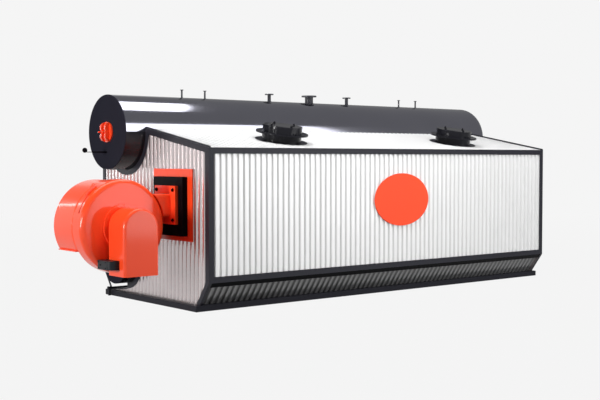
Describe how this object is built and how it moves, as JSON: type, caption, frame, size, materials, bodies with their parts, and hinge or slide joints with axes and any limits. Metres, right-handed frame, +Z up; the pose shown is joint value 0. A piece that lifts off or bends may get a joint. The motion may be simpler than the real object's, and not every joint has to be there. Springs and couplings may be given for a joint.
{
  "type": "water-tube steam boiler",
  "caption": "Packaged two-drum water-tube boiler in a ribbed sheet casing on a base frame, with a front burner, drum nozzles, roof relief vents and a rear flue outlet.",
  "frame": {"origin": "on the floor, at the middle of the four foundation bolts", "axes": "+Z up; the burner end faces -Y and the long ribbed side with the oval plate faces +X"},
  "size_m": [3.156, 9.8388, 3.415],
  "materials": {
    "base_steel": "satin",
    "trim_paint": "satin",
    "wall_sheet": "satin",
    "skirt_sheet": "satin",
    "casing_steel": "matte",
    "jacket_metal": "polished",
    "dark_jacket": "gloss",
    "cover_paint": "satin",
    "orange_paint": "gloss",
    "nozzle_steel": "satin",
    "vent_paint": "gloss",
    "black_plastic": "gloss",
    "collar_paint": "satin"
  },
  "bodies": {
    "root": {"base_rails": "base_steel", "base_cross_beams": "base_steel", "furnace_casing": "casing_steel", "tube_bank_casing": "casing_steel", "shoulder_plate": "trim_paint", "front_wall_sheet": "wall_sheet", "rear_wall_sheet": "wall_sheet", "right_wall_sheet": "wall_sheet", "left_wall_sheet": "wall_sheet", "right_skirt_sheet": "skirt_sheet", "roof_sheet": "wall_sheet", "front_trim": "trim_paint", "rear_trim": "trim_paint", "right_wall_trim": "trim_paint", "left_wall_trim": "trim_paint", "right_knee_band": "trim_paint", "upper_drum_jacket": "jacket_metal", "upper_drum_belly": "dark_jacket", "upper_drum_front_cover": "cover_paint", "upper_drum_rear_head": "jacket_metal", "upper_manway": "orange_paint", "cover_lever": "black_plastic", "lower_drum_jacket": "dark_jacket", "lower_drum_front_cover": "cover_paint", "lower_drum_rear_head": "cover_paint", "lower_manway": "orange_paint", "lower_drum_saddles": "base_steel", "steam_nozzle": "nozzle_steel", "safety_nozzles": "nozzle_steel", "small_nozzles": "nozzle_steel", "relief_vent_front": "vent_paint", "relief_vent_rear": "vent_paint", "burner_port_frame": "orange_paint", "burner_port_collar": "collar_paint", "burner_flange": "orange_paint", "burner_neck": "orange_paint", "burner_fan_housing": "orange_paint", "burner_inlet_drum": "orange_paint", "burner_motor_flange": "orange_paint", "burner_motor_cover": "orange_paint", "burner_control_box": "black_plastic", "side_plate": "orange_paint", "flue_outlet": "trim_paint", "blowdown_line": "base_steel"}
  },
  "joints": []
}
